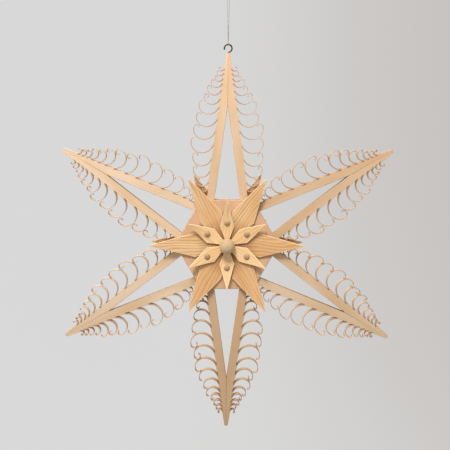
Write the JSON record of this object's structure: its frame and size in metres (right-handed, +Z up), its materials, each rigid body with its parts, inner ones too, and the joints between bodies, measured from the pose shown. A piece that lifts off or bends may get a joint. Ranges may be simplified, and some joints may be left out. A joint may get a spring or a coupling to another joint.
{
  "type": "hanging wooden star ornament",
  "caption": "Double-sided hanging star of mitred wooden slats with curled shavings along their edges, leaf petals, pegs and a ball on a hexagonal hub, hung by a thread.",
  "frame": {"origin": "top of the thread's hanging loop, where it bears on the nail that the star hangs from", "axes": "+Z up along the hanging thread, -Y towards the star's front, +X to the right seen from the front"},
  "size_m": [0.2554, 0.0364, 0.3589],
  "materials": {
    "slat_wood": "pale honey softwood, raw and lightly sanded",
    "petal_wood": "split honey softwood with raised grain",
    "small_petal_wood": "split pale softwood",
    "plate_wood": "thin pinkish softwood veneer board",
    "core_wood": "sawn softwood",
    "turned_wood": "turned pale hardwood, smooth",
    "bronzed_metal": "dark bronzed wire",
    "thread": "thin pale twisted thread"
  },
  "bodies": {
    "hanger": {"hanging_loop": "thread", "thread_knot": "thread"},
    "thread": {"hanging_thread": "thread"},
    "star": {"front_plate": "plate_wood", "back_plate": "plate_wood", "hub_core": "core_wood", "centre_dowel": "turned_wood", "front_ball": "turned_wood", "back_ball": "turned_wood", "screw_eye": "bronzed_metal", "slat_12_left": "slat_wood", "slat_12_right": "slat_wood", "slat_02_left": "slat_wood", "slat_02_right": "slat_wood", "slat_04_left": "slat_wood", "slat_04_right": "slat_wood", "slat_06_left": "slat_wood", "slat_06_right": "slat_wood", "slat_08_left": "slat_wood", "slat_08_right": "slat_wood", "slat_10_left": "slat_wood", "slat_10_right": "slat_wood", "front_large_petal_01": "petal_wood", "front_large_petal_03": "petal_wood", "front_large_petal_05": "petal_wood", "front_large_petal_07": "petal_wood", "front_large_petal_09": "petal_wood", "front_large_petal_11": "petal_wood", "front_small_petal_12": "small_petal_wood", "front_peg_12": "turned_wood", "front_small_petal_02": "small_petal_wood", "front_peg_02": "turned_wood", "front_small_petal_04": "small_petal_wood", "front_peg_04": "turned_wood", "front_small_petal_06": "small_petal_wood", "front_peg_06": "turned_wood", "front_small_petal_08": "small_petal_wood", "front_peg_08": "turned_wood", "front_small_petal_10": "small_petal_wood", "front_peg_10": "turned_wood", "back_large_petal_01": "petal_wood", "back_large_petal_03": "petal_wood", "back_large_petal_05": "petal_wood", "back_large_petal_07": "petal_wood", "back_large_petal_09": "petal_wood", "back_large_petal_11": "petal_wood", "back_small_petal_12": "small_petal_wood", "back_peg_12": "turned_wood", "back_small_petal_02": "small_petal_wood", "back_peg_02": "turned_wood", "back_small_petal_04": "small_petal_wood", "back_peg_04": "turned_wood", "back_small_petal_06": "small_petal_wood", "back_peg_06": "turned_wood", "back_small_petal_08": "small_petal_wood", "back_peg_08": "turned_wood", "back_small_petal_10": "small_petal_wood", "back_peg_10": "turned_wood"}
  },
  "joints": [
    {"name": "thread_twist", "type": "hinge", "parent": "hanger", "child": "thread", "pos_m": [0, 0, -0.015], "axis": [0, 0, 1], "range_deg": [-180, 180]},
    {"name": "star_swing", "type": "hinge", "parent": "thread", "child": "star", "pos_m": [0, 0, -0.058], "axis": [1, 0, 0], "range_deg": [-30, 30]}
  ]
}
